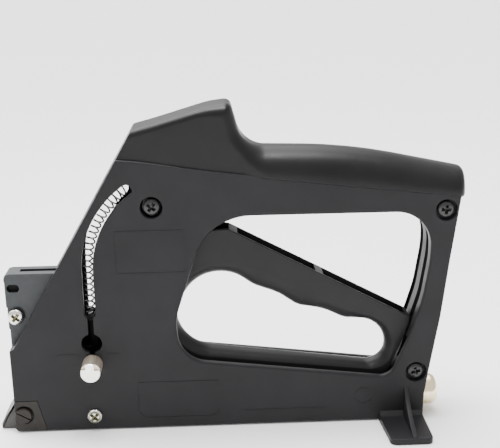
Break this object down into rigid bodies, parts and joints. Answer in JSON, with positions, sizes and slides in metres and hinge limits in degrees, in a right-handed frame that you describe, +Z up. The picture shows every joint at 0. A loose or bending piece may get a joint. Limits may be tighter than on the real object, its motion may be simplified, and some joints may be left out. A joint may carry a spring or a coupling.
{
  "type": "manual staple gun (point driver)",
  "caption": "Hand-squeezed staple gun of the point-driver kind: D-shaped grip with a looped trigger, upright magazine at the nose, side follower knob and rear force-setting knob.",
  "frame": {"origin": "centre of the bounding box in X and Y, on the plane that the nose and the feet stand on", "axes": "+X from the nose to the end of the grip, +Y to the far side of the picture, +Z up"},
  "size_m": [0.2354, 0.0784, 0.1676],
  "materials": {
    "housing": "fine matte texture",
    "trigger": "satin",
    "nose_steel": "dark blued, satin",
    "tip_steel": "dark, machined",
    "cheek_steel": "browned, satin",
    "steel": "plain",
    "bright_steel": "polished",
    "black_steel": "black oxide",
    "spring_steel": "oiled",
    "nickel": "plated",
    "brass": "pale, polished",
    "rubber": "matt"
  },
  "bodies": {
    "housing": {"housing_near": "housing", "housing_far": "housing", "screw_body_upper": "black_steel", "screw_grip_rear": "black_steel", "screw_strut_lower": "black_steel", "screw_base_front": "nickel", "magazine_plate_near": "nose_steel", "magazine_plate_far": "nose_steel", "screw_magazine": "nickel", "nose_tip": "tip_steel", "nose_cheek_near": "cheek_steel", "nose_cheek_far": "cheek_steel", "cheek_screw_near": "cheek_steel", "cheek_screw_far": "cheek_steel", "driver_track": "bright_steel", "driver_bumper": "rubber", "trigger_pivot_pin": "steel", "trigger_return_spring": "spring_steel", "follower_spring": "spring_steel", "main_spring": "spring_steel"},
    "trigger": {"trigger_lever": "trigger", "pawl_pin": "steel"},
    "pawl": {"cocking_pawl": "steel"},
    "driver": {"driver_carriage": "steel", "driver_blade": "bright_steel", "blade_rivet": "steel"},
    "follower": {"follower_plate": "black_steel", "follower_shoe": "steel", "follower_stem": "steel", "follower_knob": "nickel"},
    "adjuster": {"adjuster_knob": "brass", "adjuster_rod": "steel"},
    "seat": {"spring_seat": "steel"}
  },
  "joints": [
    {"name": "trigger_pivot", "type": "hinge", "parent": "housing", "child": "trigger", "pos_m": [-0.02705, 0, 0.085], "axis": [0, -1, 0], "range_deg": [0, 22], "stiffness_Nm_per_rad": 2, "springref_deg": -8.59},
    {"name": "pawl_pivot", "type": "hinge", "parent": "trigger", "child": "pawl", "pos_m": [-0.03505, 0, 0.022], "axis": [0, -1, 0], "range_deg": [-22, 0]},
    {"name": "driver_slide", "type": "slide", "parent": "housing", "child": "driver", "axis": [1, 0, 0], "range_m": [0, 0.0242], "deforming": ["main_spring"]},
    {"name": "follower_slide", "type": "slide", "parent": "housing", "child": "follower", "axis": [0, 0, 1], "range_m": [0, 0.04], "stiffness_N_per_m": 30, "springref_m": -0.03, "deforming": ["follower_spring"]},
    {"name": "adjuster_turn", "type": "hinge", "parent": "housing", "child": "adjuster", "pos_m": [0, 0, 0.0105], "axis": [1, 0, 0], "range_deg": [0, 1080]},
    {"name": "seat_slide", "type": "slide", "parent": "housing", "child": "seat", "axis": [-1, 0, 0], "range_m": [0, 0.0038]}
  ],
  "couplings": [
    {"joint": "pawl_pivot", "follows": "trigger_pivot", "ratio": -1},
    {"joint": "driver_slide", "follows": "trigger_pivot", "m_per_rad": 0.063},
    {"joint": "seat_slide", "follows": "adjuster_turn", "m_per_rad": 0.000199}
  ]
}
